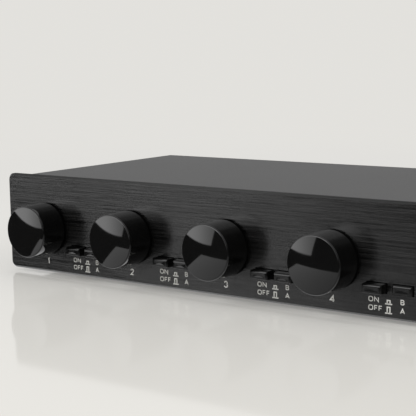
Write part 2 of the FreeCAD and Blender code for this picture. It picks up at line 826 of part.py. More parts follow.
def plug(name, x, z):
    """A screw-terminal plug with a wire hole and a screw well for each of its ways."""
    case = block(name + "_case", around(x, "plug_width"),
                 ("rear_board_back + socket_floor", "case_back + plug_reach"), around(z, "plug_height"))
    cutters = []
    for way in range(WAYS):
        across = f"{x} + ({way} - {WAYS - 1} / 2) * way_pitch"
        cutters.append(rod(f"{name}_wire_{way + 1}", "wire_radius", "wire_depth + overshoot",
                           across, "case_back + plug_reach + overshoot", f"{z} - wire_drop", TO_FRONT))
        cutters.append(rod(f"{name}_well_{way + 1}", "clamp_radius", "clamp_height + overshoot",
                           across, "clamp_row", f"{z} + plug_height / 2 - clamp_height"))
    return cut(name + "_plug", case, cutters)


def terminal_screws():
    """A slotted clamp screw in each well of each plug."""
    screws = []
    for name, x, z in socket_places():
        for way in range(WAYS):
            label = f"{name}_clamp_{way + 1}"
            shank = rod(label + "_shank", "clamp_radius - screw_clearance", "clamp_height - clamp_sink")
            slot = block(label + "_slot", around("0", "2 * clamp_radius"), around("0", "cross_width"),
                         ("clamp_height - clamp_sink - cross_depth", "clamp_height"))
            clamp = cut(label, shank, [slot])
            screws.append(put(clamp, f"{x} + ({way} - {WAYS - 1} / 2) * way_pitch", "clamp_row",
                              f"{z} + plug_height / 2 - clamp_height"))
    return group("terminal_screws", screws)


# Assembly

def build():
    """Makes every sub-part and returns them."""
    parts = [front_panel(), top_cover(), chassis(), foot_screws(), cover_screws()]
    parts += [foot(*place) for place in foot_places()]
    for channel in range(CHANNELS):
        label, axis = channel + 1, axis_of(channel)
        last = channel == CHANNELS - 1
        parts += [knob(label, axis), control_shaft(label, axis), volume_switch(label, axis)]
        parts.append(button(f"on_off_button_{label}", f"{axis} + button_offset", pressed=False))
        parts.append(button(f"source_button_{label}", f"{axis} + button_offset + button_pitch", pressed=last))
        parts += [switch_block(label, axis), autoformer(label, core_axis(channel))]
    parts += [control_washers(), control_nuts(), front_board(), rear_board(), board_spacers(), board_screws()]
    parts += [autoformer_screws(), ribbon_cable(), terminal_screws()]
    for place in socket_places():
        parts += [socket(*place), plug(*place)]
    return parts


def check(parts):
    """Stops before anything is written if an object or a shape has failed."""
    for thing in doc.Objects:
        if "Invalid" in thing.State or "Error" in thing.State:
            raise RuntimeError(f"{thing.Label} failed: {thing.State}")
    for part in parts:
        if part.Shape.isNull() or not part.Shape.isValid() or not part.Shape.Solids:
            raise RuntimeError(f"{part.Label} has no valid shape")


def write(parts):
    """Writes each sub-part to a file named after its label."""
    os.makedirs("parts", exist_ok=True)
    for part in parts:
        part.Shape.exportStep(f"parts/{part.Label}.step")


fill(sizes, {name: str(size) for name, size in SIZES.items()})
doc.recompute()
fill(places, {name: "=" + formula(text).replace("places.", "") for name, text in PLACES.items()})
doc.recompute()
subparts = build()
doc.recompute()
check(subparts)
write(subparts)
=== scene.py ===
import math

import bmesh
import bpy
import numpy as np
from mathutils import Matrix, Vector


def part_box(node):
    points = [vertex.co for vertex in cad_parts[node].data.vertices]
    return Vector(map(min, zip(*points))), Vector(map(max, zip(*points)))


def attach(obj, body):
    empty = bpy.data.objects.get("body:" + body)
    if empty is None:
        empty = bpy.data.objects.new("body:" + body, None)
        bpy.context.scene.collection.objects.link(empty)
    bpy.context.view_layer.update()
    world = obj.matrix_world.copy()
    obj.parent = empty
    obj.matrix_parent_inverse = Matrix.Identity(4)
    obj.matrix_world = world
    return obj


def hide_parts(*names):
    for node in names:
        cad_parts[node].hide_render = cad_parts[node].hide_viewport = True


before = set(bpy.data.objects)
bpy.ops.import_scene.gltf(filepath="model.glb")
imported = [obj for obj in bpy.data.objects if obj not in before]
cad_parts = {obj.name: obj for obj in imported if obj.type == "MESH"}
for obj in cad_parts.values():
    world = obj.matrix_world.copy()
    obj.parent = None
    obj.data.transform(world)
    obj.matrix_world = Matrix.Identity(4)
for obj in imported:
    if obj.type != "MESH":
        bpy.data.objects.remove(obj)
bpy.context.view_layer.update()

MM = 0.001
CHANNELS = 4

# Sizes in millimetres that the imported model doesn't state
KNOB_DOME = 1.0
KNOB_EDGE = 0.8
KNOB_DRAFT = 0.3
RECESS_RADIUS = 12.5
RECESS_DEPTH = 13.5
HUB_RADIUS = 5.2
HUB_START = 6.0
BORE_RADIUS = 3.0
BUTTON_EDGE = 1.1
BUTTON_CORNER = 0.5
BUTTON_DISH = 0.12
STEM_HALF = (2.0, 1.3)
CAP_LENGTH = 12.0
PRINT_THICKNESS = 0.03

# The printed legends: their sizes, heights above the panel's lower edge and places from the knob's axis
NUMBER_HEIGHT = 3.7
NUMBER_LEVEL = 6.65
LETTER_HEIGHT = 2.65
UPPER_ROW = 9.24
LOWER_ROW = 4.95
ON_OFF_START = 20.2
SYMBOL_PLACE = 31.2
SOURCE_PLACE = 38.6
NUMBER_STROKE = 0.62
LETTER_STROKE = 0.45
WORD_GAP = 0.2
SYMBOL_DROP = 1.9
UPPER_SYMBOL_LIFT = 0.3
UPPER_SYMBOL_HEIGHT = 2.4
LOWER_SYMBOL_HEIGHT = 3.6

# The camera, in millimetres and degrees
CAMERA_PLACE = (350.17, -549.40, 132.74)
CAMERA_AZIMUTH = 36.177
CAMERA_PITCH = 7.995
CAMERA_ROLL = -0.877
FOCAL_LENGTH = 97.534
SENSOR = 36.0

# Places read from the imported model, in metres
panel_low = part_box("front_panel")[0]
case_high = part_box("chassis")[1]


# Material nodes

def grey(value):
    """A neutral colour of one strength."""
    return (value, value, value)


def new_finish(name):
    """An empty Principled material. Gives the material, its node tree and its shader."""
    material = bpy.data.materials.new(name)
    material.use_nodes = True
    tree = material.node_tree
    tree.nodes.clear()
    output = tree.nodes.new("ShaderNodeOutputMaterial")
    shader = tree.nodes.new("ShaderNodeBsdfPrincipled")
    tree.links.new(shader.outputs["BSDF"], output.inputs["Surface"])
    return material, tree, shader


def show_instead(tree, result):
    """Puts another shader's result on the surface, in the place of the Principled shader."""
    output = next(node for node in tree.nodes if node.type == "OUTPUT_MATERIAL")
    tree.links.new(result, output.inputs["Surface"])


def settle(shader, **values):
    """Sets sockets of a shader by name, with an underscore for each space."""
    for name, value in values.items():
        shader.inputs[name.replace("_", " ")].default_value = value


def place_on(tree, stretch=(1, 1, 1)):
    """Object coordinates in metres, stretched along each axis."""
    coordinates = tree.nodes.new("ShaderNodeTexCoord")
    mapping = tree.nodes.new("ShaderNodeMapping")
    mapping.inputs["Scale"].default_value = stretch
    tree.links.new(coordinates.outputs["Object"], mapping.inputs["Vector"])
    return mapping.outputs["Vector"]


def noise(tree, where, scale, detail=4.0, roughness=0.55):
    """A cloudy pattern between 0 and 1, with its scale per unit of the place."""
    texture = tree.nodes.new("ShaderNodeTexNoise")
    texture.inputs["Scale"].default_value = scale
    texture.inputs["Detail"].default_value = detail
    texture.inputs["Roughness"].default_value = roughness
    tree.links.new(where, texture.inputs["Vector"])
    return texture.outputs["Fac"]


def fade(tree, value, start, end, low=0.0, high=1.0, smooth=False):
    """A number that goes from low to high while a value goes from start to end, and stays level outside."""
    node = tree.nodes.new("ShaderNodeMapRange")
    if smooth:
        node.interpolation_type = "SMOOTHSTEP"
    node.inputs["From Min"].default_value = start
    node.inputs["From Max"].default_value = end
    node.inputs["To Min"].default_value = low
    node.inputs["To Max"].default_value = high
    tree.links.new(value, node.inputs["Value"])
    return node.outputs["Result"]


def mix_number(tree, factor, low, high, spread=0.2):
    """A number that goes from low to high while a factor crosses one half, over a spread on both sides."""
    return fade(tree, factor, 0.5 - spread, 0.5 + spread, low, high)


def mix_colour(tree, factor, low, high, spread=0.2):
    """A colour that goes from low to high while a factor crosses one half, over a spread on both sides."""
    ramp = tree.nodes.new("ShaderNodeValToRGB")
    ramp.color_ramp.elements[0].position = 0.5 - spread
    ramp.color_ramp.elements[1].position = 0.5 + spread
    ramp.color_ramp.elements[0].color = (*low, 1)
    ramp.color_ramp.elements[1].color = (*high, 1)
    tree.links.new(factor, ramp.inputs["Fac"])
    return ramp.outputs["Color"]


def bump(tree, shader, height, depth, strength=1.0):
    """Raises the surface by a height pattern, with its depth in millimetres."""
    raised = tree.nodes.new("ShaderNodeBump")
    raised.inputs["Strength"].default_value = strength
    raised.inputs["Distance"].default_value = depth * MM
    tree.links.new(height, raised.inputs["Height"])
    tree.links.new(raised.outputs["Normal"], shader.inputs["Normal"])


def brushed_anodising():
    """Aluminium plate brushed from side to side and anodised black, with a dull sawn edge along its top."""
    material, tree, shader = new_finish("brushed_anodising")
    settle(shader, IOR=1.56, Anisotropic=0.7, Anisotropic_Rotation=0.25)
    tangent = tree.nodes.new("ShaderNodeTangent")
    tangent.direction_type = "RADIAL"
    tangent.axis = "Z"
    tree.links.new(tangent.outputs["Tangent"], shader.inputs["Tangent"])
    lines = noise(tree, place_on(tree, stretch=(24, 60, 1300)), 1.0, detail=4.0, roughness=0.7)
    tone = mix_colour(tree, lines, grey(0.001), grey(0.009), spread=0.12)
    tree.links.new(tone, shader.inputs["Base Color"])
    brushed = mix_number(tree, lines, 0.15, 0.25, spread=0.12)
    surface = tree.nodes.new("ShaderNodeNewGeometry")
    facing = tree.nodes.new("ShaderNodeSeparateXYZ")
    tree.links.new(surface.outputs["Normal"], facing.inputs[0])
    sawn = fade(tree, facing.outputs["Z"], start=0.5, end=0.9, low=0.0, high=0.8)
    rougher = tree.nodes.new("ShaderNodeMath")
    rougher.operation = "MAXIMUM"
    tree.links.new(brushed, rougher.inputs[0])
    tree.links.new(sawn, rougher.inputs[1])
    tree.links.new(rougher.outputs[0], shader.inputs["Roughness"])
    bump(tree, shader, lines, 0.06)
    return material


def powder_coat():
    """Satin black powder coat with a very fine orange peel."""
    material, tree, shader = new_finish("powder_coat")
    settle(shader, IOR=1.5)
    grain = noise(tree, place_on(tree), 2600, detail=3.0)
    clouds = noise(tree, place_on(tree), 14, detail=2.0)
    tree.links.new(mix_colour(tree, clouds, grey(0.014), grey(0.018)), shader.inputs["Base Color"])
    tree.links.new(mix_number(tree, grain, 0.46, 0.54), shader.inputs["Roughness"])
    bump(tree, shader, grain, 0.012, 0.5)
    return material


def polished_black():
    """Deep black moulding with a mirror polish and hardly any waviness."""
    material, tree, shader = new_finish("polished_black")
    settle(shader, IOR=1.53)
    clouds = noise(tree, place_on(tree), 60, detail=2.0)
    tree.links.new(mix_colour(tree, clouds, grey(0.002), grey(0.003)), shader.inputs["Base Color"])
    tree.links.new(mix_number(tree, clouds, 0.03, 0.05), shader.inputs["Roughness"])
    bump(tree, shader, clouds, 0.002, 0.3)
    return material


def satin_moulding(name, low, high, rough, grain_scale=1800, ior=1.5):
    """Moulded plastic with a fine spark-eroded grain."""
    material, tree, shader = new_finish(name)
    settle(shader, IOR=ior)
    grain = noise(tree, place_on(tree), grain_scale, detail=2.0)
    clouds = noise(tree, place_on(tree), 40, detail=2.0)
    tree.links.new(mix_colour(tree, clouds, low, high), shader.inputs["Base Color"])
    tree.links.new(mix_number(tree, grain, rough * 0.9, rough * 1.1), shader.inputs["Roughness"])
    bump(tree, shader, grain, 0.01, 0.4)
    return material


def metal(name, low, high, rough, stretch=(1, 1, 1), scale=900):
    """Plated, turned or blackened steel with fine tool marks."""
    material, tree, shader = new_finish(name)
    settle(shader, Metallic=1.0)
    marks = noise(tree, place_on(tree, stretch), scale, detail=4.0)
    tree.links.new(mix_colour(tree, marks, low, high), shader.inputs["Base Color"])
    tree.links.new(mix_number(tree, marks, rough * 0.8, rough * 1.2), shader.inputs["Roughness"])
    bump(tree, shader, marks, 0.01, 0.3)
    return material


def laminations():
    """Varnished transformer sheets on edge, one thin stripe after another."""
    material, tree, shader = new_finish("laminations")
    settle(shader, Metallic=0.6)
    stripes = tree.nodes.new("ShaderNodeTexWave")
    stripes.bands_direction = "Y"
    stripes.inputs["Scale"].default_value = 320
    stripes.inputs["Distortion"].default_value = 1.5
    tree.links.new(place_on(tree), stripes.inputs["Vector"])
    height = stripes.outputs["Fac"]
    tone = mix_colour(tree, height, (0.03, 0.025, 0.02), (0.22, 0.19, 0.15))
    tree.links.new(tone, shader.inputs["Base Color"])
    tree.links.new(mix_number(tree, height, 0.35, 0.55), shader.inputs["Roughness"])
    bump(tree, shader, height, 0.05, 0.5)
    return material


def ribbon_wires():
    """Grey insulation over wires that lie side by side, with painted shade that makes the grooves between the
    wires darker than their crests.
    """
    material, tree, shader = new_finish("ribbon_wires")
    ribs = tree.nodes.new("ShaderNodeTexWave")
    ribs.bands_direction = "X"
    ribs.inputs["Scale"].default_value = 250
    tree.links.new(place_on(tree), ribs.inputs["Vector"])
    height = ribs.outputs["Fac"]
    # Painted shade: the grey is darker in the grooves and lighter on the wire crests, in step with the ribs'
    # height
    tone = mix_colour(tree, height, (0.25, 0.25, 0.26), (0.42, 0.42, 0.43))
    tree.links.new(tone, shader.inputs["Base Color"])
    tree.links.new(mix_number(tree, height, 0.4, 0.5), shader.inputs["Roughness"])
    bump(tree, shader, height, 0.2, 0.6)
    return material


def solder_mask():
    """Green lacquer over copper tracks, which show as slightly raised lines."""
    material, tree, shader = new_finish("solder_mask")
    settle(shader, IOR=1.5)
    tracks = tree.nodes.new("ShaderNodeTexBrick")
    tracks.inputs["Scale"].default_value = 160
    tracks.inputs["Mortar Size"].default_value = 0.04
    tree.links.new(place_on(tree), tracks.inputs["Vector"])
    height = tracks.outputs["Fac"]
    tone = mix_colour(tree, height, (0.01, 0.1, 0.035), (0.03, 0.2, 0.07))
    tree.links.new(tone, shader.inputs["Base Color"])
    tree.links.new(mix_number(tree, height, 0.25, 0.4), shader.inputs["Roughness"])
    bump(tree, shader, height, 0.05, 0.4)
    return material


def screen_print():
    """White printing ink, a little uneven where the brushed metal shows through."""
    material, tree, shader = new_finish("screen_print")
    settle(shader, IOR=1.45)
    grain = noise(tree, place_on(tree, stretch=(1, 1, 6)), 900, detail=3.0)
    tone = mix_colour(tree, grain, (0.62, 0.62, 0.6), (0.8, 0.8, 0.78))
    tree.links.new(tone, shader.inputs["Base Color"])
    tree.links.new(mix_number(tree, grain, 0.5, 0.6), shader.inputs["Roughness"])
    return material


panel_finish = brushed_anodising()
case_finish = powder_coat()
knob_finish = polished_black()
button_finish = satin_moulding("button_satin", grey(0.002), grey(0.004), 0.13, ior=1.45)
print_finish = screen_print()
rubber_finish = satin_moulding("foot_rubber", grey(0.012), grey(0.02), 0.75, grain_scale=900)
terminal_finish = satin_moulding("terminal_moulding", (0.008, 0.2, 0.075), (0.012, 0.25, 0.095), 0.38)
switch_finish = satin_moulding("switch_moulding", (0.02, 0.02, 0.025), (0.035, 0.035, 0.04), 0.5)
black_steel = metal("blackened_steel", grey(0.03), grey(0.06), 0.4)
zinc = metal("zinc_plate", (0.5, 0.5, 0.48), (0.7, 0.7, 0.68), 0.32)
turned_steel = metal("turned_steel", (0.45, 0.45, 0.46), (0.62, 0.62, 0.62), 0.25, stretch=(1, 8, 1))

NODE_FINISHES = {
    "front_panel": panel_finish,
    "chassis": case_finish,
    "top_cover": case_finish,
    "foot_screws": black_steel,
    "cover_screws": black_steel,
    "board_screws": zinc,
    "autoformer_screws": zinc,
    "terminal_screws": zinc,
    "control_nuts": zinc,
    "control_washers": zinc,
    "board_spacers": zinc,
    "front_board": solder_mask(),
    "rear_board": solder_mask(),
    "ribbon_cable": ribbon_wires(),
}
FINISHES_BY_START = {
    "foot_front": rubber_finish,
    "foot_rear": rubber_finish,
    "control_shaft": turned_steel,
    "volume_switch": switch_finish,
    "switch_block": switch_finish,
    "autoformer_": laminations(),
    "speaker_output": terminal_finish,
    "amplifier_input": terminal_finish,
    "knob": knob_finish,
    "on_off_button": button_finish,
    "source_button": button_finish,
}


def finish_of(node):
    """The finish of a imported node, by its whole name or by how its name starts."""
    if node in NODE_FINISHES:
        return NODE_FINISHES[node]
    return next(finish for start, finish in FINISHES_BY_START.items() if node.startswith(start))


for node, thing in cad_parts.items():
    thing.data.materials.clear()
    thing.data.materials.append(finish_of(node))


# Surfaces

def shell(name, points, finish, wrap=True, ends=False):
    """A mesh over a grid of points, with one quad between each four neighbours.

    The grid's rows follow one parameter and its columns the other. With wrap the last column joins the
    first, and with ends the first and the last row are closed by a face each.
    """
    rows, columns = points.shape[:2]
    index = np.arange(rows * columns).reshape(rows, columns)
    across = np.concatenate([index, index[:, :1]], axis=1) if wrap else index
    quads = np.stack([across[:-1, :-1], across[:-1, 1:], across[1:, 1:], across[1:, :-1]], axis=-1)
    faces = quads.reshape(-1, 4).tolist()
    if ends:
        faces += [index[0].tolist(), index[-1].tolist()]
    mesh = bpy.data.meshes.new(name)
    mesh.from_pydata(points.reshape(-1, 3).tolist(), [], faces)
    return finished(name, mesh, finish)


def finished(name, mesh, finish):
    """Closes seams and poles, turns the faces outwards, shades smooth and links the piece."""
    work = bmesh.new()
    work.from_mesh(mesh)
    bmesh.ops.remove_doubles(work, verts=work.verts, dist=1e-7)
    bmesh.ops.recalc_face_normals(work, faces=work.faces)
    work.to_mesh(mesh)
    work.free()
    mesh.shade_smooth()
    mesh.set_sharp_from_angle(angle=math.radians(35))
    mesh.materials.append(finish)
    piece = bpy.data.objects.new(name, mesh)
    bpy.context.scene.collection.objects.link(piece)
    return piece


def arc(centre, radius, start, end, steps):
    """Points of a circle about a centre, from one angle in degrees to another."""
    angles = np.radians(np.linspace(start, end, steps))
    return np.stack([centre[0] + radius * np.cos(angles), centre[1] + radius * np.sin(angles)], axis=-1)


def turned(name, profile, centre, finish, steps=160):
    """A surface of revolution about an axis along -Y.

    A profile point (r, h) at the angle t goes to the centre plus (r cos t, -h, r sin t).
    """
    angles = np.linspace(0, 2 * math.pi, steps, endpoint=False)
    radius, height = profile[:, :1], profile[:, 1:]
    x = centre[0] + radius * np.cos(angles)
    y = centre[1] - height + 0 * angles
    z = centre[2] + radius * np.sin(angles)
    return shell(name, np.stack([x, y, z], axis=-1), finish)


def rounded_rectangle(half_width, half_height, corner, steps=6):
    """An outline of four quarter circles, each about a point one corner radius in from both sides."""
    quarter = np.linspace(0, math.pi / 2, steps)
    turns = np.concatenate([quarter + k * math.pi / 2 for k in range(4)])
    side_x = np.repeat([1, -1, -1, 1], steps)
    side_z = np.repeat([1, 1, -1, -1], steps)
    x = side_x * (half_width - corner) + corner * np.cos(turns)
    z = side_z * (half_height - corner) + corner * np.sin(turns)
    return np.stack([x, z], axis=-1)


# Knobs

def knob_profile(radius, reach):
    """The outline of half a knob as (radius, height above its back edge), in metres.

    The face is a circle's arc that rises by the dome's height over the radius. A small arc joins it to the
    side: its centre is one edge radius inside both, so it lies on a circle about the dome's centre.
    """
    dome, edge = KNOB_DOME * MM, KNOB_EDGE * MM
    sphere = (radius ** 2 + dome ** 2) / (2 * dome)
    centre_height = reach - sphere
    face_radius = radius - KNOB_DRAFT * MM
    edge_centre_r = face_radius - edge
    edge_centre_h = centre_height + math.sqrt((sphere - edge) ** 2 - edge_centre_r ** 2)
    join = math.degrees(math.atan2(edge_centre_h - centre_height, edge_centre_r))
    face = arc((0, centre_height), sphere, join, 90, 40)
    rim = arc((edge_centre_r, edge_centre_h), edge, 0, join, 14)
    side = np.linspace([radius, 0], [face_radius, edge_centre_h], 12)
    recess, hub, bore = RECESS_RADIUS * MM, HUB_RADIUS * MM, BORE_RADIUS * MM
    depth, start = RECESS_DEPTH * MM, HUB_START * MM
    inside = np.array([[0, depth + MM], [bore, depth + MM], [bore, start], [hub, start], [hub, depth],
                       [recess, depth], [recess, 0], [radius, 0]])
    return np.concatenate([side[1:-1], rim, face[1:], inside])


for channel in range(1, CHANNELS + 1):
    low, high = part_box(f"knob_{channel}")
    centre = ((low.x + high.x) / 2, high.y, (low.z + high.z) / 2)
    profile = knob_profile((high.x - low.x) / 2, high.y - low.y)
    knob = turned(f"knob_cap_{channel}", profile, centre, knob_finish)
    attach(knob, f"knob_{channel}")
    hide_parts(f"knob_{channel}")


# Push buttons

def button(name, node, body):
    """A cap on a stem: rounded rectangles one behind the other, from the face's middle to the stem's end.

    Round the edge the outline is smaller than the cap's by e (1 - sin t) on each side and lies e (1 - cos t)
    behind the face, for the edge radius e and t from 0 to 90 degrees. The face is hollow in the middle, by
    the dish times (1 + cos (180 degrees times s)) / 2 at the share s of the way out to the edge.
    """
    low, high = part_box(node)
    middle = (low + high) / 2
    half = np.array([(high.x - low.x) / 2, (high.z - low.z) / 2])
    edge, corner, dish = BUTTON_EDGE * MM, BUTTON_CORNER * MM, BUTTON_DISH * MM
    shares = np.linspace(0.02, 1, 8)
    face = [(half * s - edge * s, low.y + dish * (1 + math.cos(math.pi * s)) / 2, corner * s) for s in shares]
    turns = np.radians(np.linspace(0, 90, 7))[1:]
    rim = [(half - edge * (1 - math.sin(t)), low.y + edge * (1 - math.cos(t)), corner) for t in turns]
    back = low.y + CAP_LENGTH * MM
    stem = np.array(STEM_HALF) * MM
    rings = face + rim + [(half, back, corner), (stem, back, corner), (stem, high.y, corner)]
    grid = []
    for size, y, round_by in rings:
        outline = rounded_rectangle(size[0], size[1], round_by)
        x, z = outline[:, 0] + middle.x, outline[:, 1] + middle.z
        grid.append(np.stack([x, np.full_like(x, y), z], axis=-1))
    piece = shell(name, np.array(grid), button_finish, ends=True)
    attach(piece, body)
    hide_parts(node)


for channel in range(1, CHANNELS + 1):
    button(f"on_off_cap_{channel}", f"on_off_button_{channel}", f"on_off_button_{channel}")
    button(f"source_cap_{channel}", f"source_button_{channel}", f"source_button_{channel}")


# Printed legends

def loop(squareness=3.0, steps=28):
    """A closed letter bowl: a superellipse that fills the unit square."""
    t = np.linspace(0, 2 * math.pi, steps)
    power = 2 / squareness
    x = 0.5 + 0.5 * np.sign(np.cos(t)) * np.abs(np.cos(t)) ** power
    z = 0.5 + 0.5 * np.sign(np.sin(t)) * np.abs(np.sin(t)) ** power
    return np.stack([x, z], axis=-1)


def bow(centre, half, start, end, steps=14):
    """Part of an ellipse, for the round strokes of a figure."""
    t = np.radians(np.linspace(start, end, steps))
    return np.stack([centre[0] + half[0] * np.cos(t), centre[1] + half[1] * np.sin(t)], axis=-1)


def line(*points):
    """Straight strokes from each point to the next."""
    return np.array(points, float)


# Each glyph is its width as a share of its height, and its strokes in a unit square
GLYPHS = {
    "O": (1.0, [loop()]),
    "N": (0.95, [line((0, 0), (0, 1), (1, 0), (1, 1))]),
    "F": (0.72, [line((0, 0), (0, 1), (1, 1)), line((0, 0.5), (0.85, 0.5))]),
    "A": (0.95, [line((0, 0), (0.5, 1), (1, 0)), line((0.18, 0.3), (0.82, 0.3))]),
    "B": (0.8, [line((0, 0), (0, 1), (0.6, 1)), bow((0.6, 0.76), (0.3, 0.24), 90, -90),
                line((0, 0.52), (0.6, 0.52)), bow((0.6, 0.26), (0.4, 0.26), 90, -90),
                line((0.6, 0), (0, 0))]),
    "1": (0.5, [line((0.1, 0.74), (0.62, 1), (0.62, 0))]),
    "2": (0.68, [bow((0.5, 0.7), (0.5, 0.3), 165, -20), line((0.97, 0.6), (0, 0), (1, 0))]),
    "3": (0.7, [bow((0.48, 0.75), (0.46, 0.25), 170, -80), bow((0.48, 0.26), (0.52, 0.26), 80, -170)]),
    "4": (0.8, [line((0.72, 0), (0.72, 1), (0, 0.28), (1, 0.28))]),
    "+": (0.8, [line((0, 0.5), (1, 0.5)), line((0.5, 0), (0.5, 1))]),
    "-": (0.8, [line((0, 0.5), (1, 0.5))]),
}


def stroke(path, width):
    """A flat ribbon along a path: each point goes half the width to both sides of the mean direction there.

    The half width is divided by the cosine of half the turn, so that the ribbon keeps its width in a corner.
    """
    steps = np.diff(path, axis=0)
    steps /= np.linalg.norm(steps, axis=1, keepdims=True)
    closed = np.allclose(path[0], path[-1])
    before = np.concatenate([steps[-1:] if closed else steps[:1], steps])
    after = np.concatenate([steps, steps[:1] if closed else steps[-1:]])
    mean = before + after
    mean /= np.linalg.norm(mean, axis=1, keepdims=True)
    spread = width / 2 / np.maximum((mean * after).sum(axis=1, keepdims=True), 0.4)
    side = np.stack([-mean[:, 1], mean[:, 0]], axis=-1) * spread
    return np.stack([path + side, path - side], axis=1)


def text_ribbons(text, centre, height, width, gap=0.32):
    """The ribbons of a line of text about a centre. The gap between letters is a share of their height."""
    widths = [GLYPHS[letter][0] * height for letter in text]
    total = sum(widths) + gap * height * (len(text) - 1)
    ribbons, place = [], centre[0] - total / 2
    inner = height - width
    for letter, letter_width in zip(text, widths):
        size = np.array([letter_width - width, inner])
        corner = np.array([place + width / 2, centre[1] - inner / 2])
        ribbons += [stroke(corner + path * size, width) for path in GLYPHS[letter][1]]
        place += letter_width + gap * height
    return ribbons


def printed(name, ribbons, wall, facing):
    """Ribbons of ink on an upright wall, given in millimetres as (place to the reader's right, height)."""
    points, faces, count = [], [], 0
    for ribbon in ribbons:
        rows = len(ribbon)
        index = np.arange(2 * rows).reshape(rows, 2) + count
        quads = np.stack([index[:-1, 0], index[:-1, 1], index[1:, 1], index[1:, 0]], axis=-1)
        faces += quads.tolist()
        flat = ribbon.reshape(-1, 2) * MM
        across = -facing * flat[:, 0]
        points.append(np.stack([across, np.full(2 * rows, wall), flat[:, 1]], axis=-1))
        count += 2 * rows
    mesh = bpy.data.meshes.new(name)
    mesh.from_pydata(np.concatenate(points).tolist(), [], faces)
    towards_reader = Vector((0, facing, 0))
    work = bmesh.new()
    work.from_mesh(mesh)
    turned_away = [face for face in work.faces if face.normal.dot(towards_reader) < 0]
    bmesh.ops.reverse_faces(work, faces=turned_away)
    work.to_mesh(mesh)
    work.free()
    mesh.materials.append(print_finish)
    piece = bpy.data.objects.new(name, mesh)
    bpy.context.scene.collection.objects.link(piece)
    thickness = piece.modifiers.new("ink", "SOLIDIFY")
    thickness.thickness = PRINT_THICKNESS * MM
    thickness.offset = 1
    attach(piece, "case")
    return piece


def push_symbol(place, level, height):
    """A button seen from the side on its panel line: a box on a longer bar."""
    bar_half, box_half, width = 1.9, 0.74, 0.62
    low, high = level, level + height - width
    bar = line((place - bar_half, low), (place + bar_half, low))
    left, right = place - box_half, place + box_half
    box = line((left, low), (left, high), (right, high), (right, low))
    return [stroke(bar, width), stroke(box, width)]


panel_bottom = panel_low.z / MM
numbers, switch_words, source_letters, symbols = [], [], [], []
for channel in range(1, CHANNELS + 1):
    low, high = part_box(f"knob_{channel}")
    axis = (low.x + high.x) / 2 / MM
    number_place = (axis, panel_bottom + NUMBER_LEVEL)
    numbers += text_ribbons(str(channel), number_place, NUMBER_HEIGHT, NUMBER_STROKE)
    for word, row in (("ON", UPPER_ROW), ("OFF", LOWER_ROW)):
        width = sum(GLYPHS[letter][0] for letter in word) + WORD_GAP * (len(word) - 1)
        word_place = (axis + ON_OFF_START + width * LETTER_HEIGHT / 2, panel_bottom + row)
        switch_words += text_ribbons(word, word_place, LETTER_HEIGHT, LETTER_STROKE, gap=WORD_GAP)
    for letter, row in (("B", UPPER_ROW), ("A", LOWER_ROW)):
        letter_place = (axis + SOURCE_PLACE, panel_bottom + row)
        source_letters += text_ribbons(letter, letter_place, LETTER_HEIGHT, LETTER_STROKE)
    lower_base = panel_bottom + LOWER_ROW - SYMBOL_DROP
    upper_base = lower_base + UPPER_ROW - LOWER_ROW + UPPER_SYMBOL_LIFT
    symbols += push_symbol(axis + SYMBOL_PLACE, upper_base, UPPER_SYMBOL_HEIGHT)
    symbols += push_symbol(axis + SYMBOL_PLACE, lower_base, LOWER_SYMBOL_HEIGHT)

printed("channel_numbers", numbers, panel_low.y, -1)
printed("on_off_words", switch_words, panel_low.y, -1)
printed("source_letters", source_letters, panel_low.y, -1)
printed("push_symbols", symbols, panel_low.y, -1)


# Legends on the rear wall

REAR_NAMES = {
    "speaker_output_1": "1",
    "speaker_output_2": "2",
    "speaker_output_3": "3",
    "speaker_output_4": "4",
    "amplifier_input_a": "A",
    "amplifier_input_b": "B",
}
WAY_PITCH = 5.08
LABEL_RAISE = 4.5
LABEL_HEIGHT = 4.0
LABEL_STROKE = 0.6
SIGN_DROP = 2.8
SIGN_HEIGHT = 2.0
SIGN_STROKE = 0.4
rear_marks = []
for socket, label in REAR_NAMES.items():
    low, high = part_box(socket + "_socket")
    middle = -(low.x + high.x) / 2 / MM
    label_place = (middle, high.z / MM + LABEL_RAISE)
    rear_marks += text_ribbons(label, label_place, LABEL_HEIGHT, LABEL_STROKE)
    for way, sign in enumerate("+-+-"):
        sign_place = (middle + (way - 1.5) * WAY_PITCH, low.z / MM - SIGN_DROP)
        rear_marks += text_ribbons(sign, sign_place, SIGN_HEIGHT, SIGN_STROKE)
printed("rear_legends", rear_marks, case_high.y, 1)


# Stage

BACKDROP = 0.765


def pale(strength):
    """The backdrop's warm white at a strength."""
    return tuple(strength * part for part in (1.0, 0.985, 0.945))


def floor():
    """A pale, slightly glossy floor that keeps the shadow near the object and fades into the backdrop."""
    size = 6.0
    near, far, least = 0.35, 1.1, 0.3
    bpy.ops.mesh.primitive_plane_add(size=size, location=(0, 0, 0))
    plane = bpy.context.object
    plane.name = "studio_floor"
    material, tree, shader = new_finish("studio_floor")
    settle(shader, Base_Color=(*pale(0.76), 1), Roughness=0.075, IOR=1.62)
    distance = tree.nodes.new("ShaderNodeVectorMath")
    distance.operation = "LENGTH"
    tree.links.new(place_on(tree), distance.inputs[0])
    far_off = fade(tree, distance.outputs["Value"], near, far, low=least, smooth=True)
    glow = tree.nodes.new("ShaderNodeEmission")
    glow.inputs["Color"].default_value = (*pale(BACKDROP), 1)
    mix = tree.nodes.new("ShaderNodeMixShader")
    tree.links.new(far_off, mix.inputs["Fac"])
    tree.links.new(shader.outputs["BSDF"], mix.inputs[1])
    tree.links.new(glow.outputs["Emission"], mix.inputs[2])
    show_instead(tree, mix.outputs["Shader"])
    plane.data.materials.append(material)
    plane.visible_glossy = False


